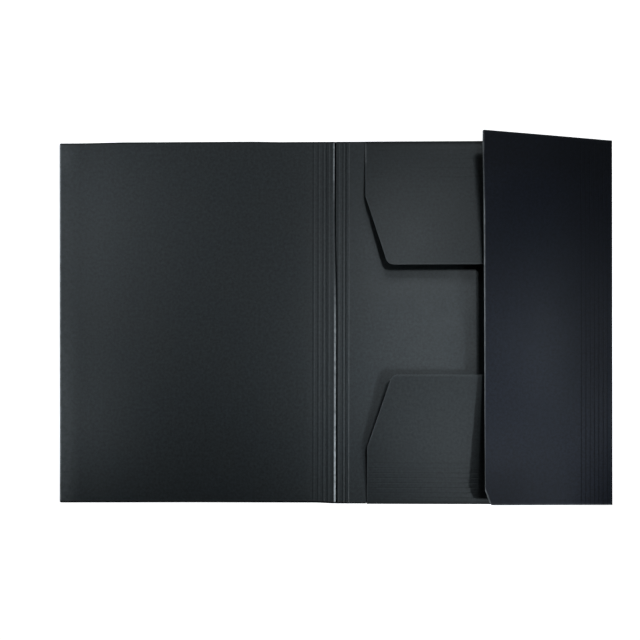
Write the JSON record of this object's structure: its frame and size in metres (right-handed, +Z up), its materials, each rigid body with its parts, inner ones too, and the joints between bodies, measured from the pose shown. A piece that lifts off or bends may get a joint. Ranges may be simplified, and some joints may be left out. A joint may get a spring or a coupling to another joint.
{
  "type": "three-flap folder",
  "caption": "Card document folder lying open: cover, scored spine and back panel, with card flaps folded in over the papers from the top, the bottom and the side.",
  "frame": {"origin": "middle of the open folder's outline, at the height of the table that it lies on", "axes": "+X from the front cover to the side flap, +Y along the spine from the bottom flap to the top flap, +Z up from the table"},
  "size_m": [0.4882, 0.32, 0.0202],
  "materials": {
    "cover_card": "satin",
    "spine_card": "satin",
    "back_panel_card": "satin",
    "end_flap_card": "satin",
    "side_flap_card": "satin"
  },
  "bodies": {
    "back_panel": {"back_panel": "back_panel_card"},
    "spine": {"spine_strip_3": "spine_card", "spine_strip_4": "spine_card", "spine_strip_5": "spine_card", "spine_strip_6": "spine_card", "spine_strip_7": "spine_card"},
    "front_cover": {"front_cover": "cover_card", "spine_strip_1": "spine_card", "spine_strip_2": "spine_card"},
    "top_flap": {"top_flap_strip_1": "end_flap_card", "top_flap_strip_2": "end_flap_card", "top_flap_strip_3": "end_flap_card", "top_flap_strip_4": "end_flap_card", "top_flap_strip_5": "end_flap_card", "top_flap_strip_6": "end_flap_card", "top_flap_strip_7": "end_flap_card", "top_flap_strip_8": "end_flap_card", "top_flap_panel": "end_flap_card"},
    "bottom_flap": {"bottom_flap_strip_1": "end_flap_card", "bottom_flap_strip_2": "end_flap_card", "bottom_flap_strip_3": "end_flap_card", "bottom_flap_strip_4": "end_flap_card", "bottom_flap_strip_5": "end_flap_card", "bottom_flap_strip_6": "end_flap_card", "bottom_flap_strip_7": "end_flap_card", "bottom_flap_strip_8": "end_flap_card", "bottom_flap_panel": "end_flap_card"},
    "side_flap": {"side_flap_strip_1": "side_flap_card", "side_flap_strip_2": "side_flap_card", "side_flap_strip_3": "side_flap_card", "side_flap_strip_4": "side_flap_card", "side_flap_strip_5": "side_flap_card", "side_flap_strip_6": "side_flap_card", "side_flap_strip_7": "side_flap_card", "side_flap_panel": "side_flap_card"}
  },
  "joints": [
    {"name": "spine_back_fold", "type": "hinge", "parent": "back_panel", "child": "spine", "pos_m": [0.01219, 0, 0.0006], "axis": [0, 1, 0], "range_deg": [0, 90]},
    {"name": "spine_front_fold", "type": "hinge", "parent": "spine", "child": "front_cover", "pos_m": [-0.00966, 0, 0.0006], "axis": [0, 1, 0], "range_deg": [0, 90]},
    {"name": "side_flap_fold", "type": "hinge", "parent": "back_panel", "child": "side_flap", "pos_m": [0.2441, 0, 0.00075], "axis": [0, 1, 0], "range_deg": [-6, 170.9]},
    {"name": "top_flap_fold", "type": "hinge", "parent": "back_panel", "child": "top_flap", "pos_m": [0.12, 0.16, 0.00075], "axis": [-1, 0, 0], "range_deg": [-6.11, 173.81]},
    {"name": "bottom_flap_fold", "type": "hinge", "parent": "back_panel", "child": "bottom_flap", "pos_m": [0.12, -0.16, 0.00075], "axis": [1, 0, 0], "range_deg": [-6.11, 173.81]}
  ],
  "couplings": [
    {"joint": "top_flap_fold", "follows": "side_flap_fold", "ratio": 1.017},
    {"joint": "bottom_flap_fold", "follows": "side_flap_fold", "ratio": 1.017}
  ]
}
